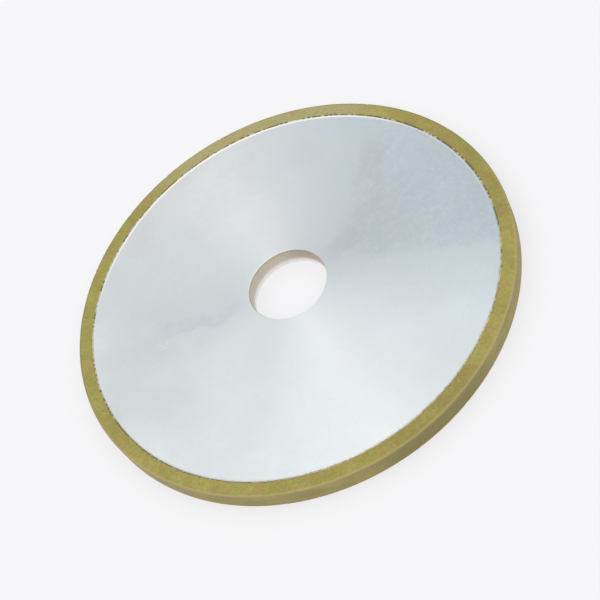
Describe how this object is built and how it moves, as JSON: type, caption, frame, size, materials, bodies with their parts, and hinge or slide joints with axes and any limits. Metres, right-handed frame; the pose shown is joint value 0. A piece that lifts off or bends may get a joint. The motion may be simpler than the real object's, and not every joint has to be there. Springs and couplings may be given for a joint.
{
  "type": "diamond grinding wheel",
  "caption": "Flat straight-sided grinding wheel: an aluminium disc core with a chamfered spindle bore and a resin-bond diamond abrasive rim.",
  "frame": {"origin": "centre of the wheel's bottom face, on the axis of the bore", "axes": "+Z along the wheel's axis, out of the top face; the wheel lies flat and is round about Z, so X and Y are alike"},
  "size_m": [0.18, 0.18, 0.008],
  "materials": {
    "aluminium_core": "fine turned, satin, with faint circular tool marks",
    "dark_bond": "matt dark resin",
    "diamond_resin": "matt olive resin bond, fine gritty grain"
  },
  "bodies": {
    "root": {"core_disc": "aluminium_core", "bond_layer": "dark_bond", "diamond_rim": "diamond_resin"}
  },
  "joints": []
}
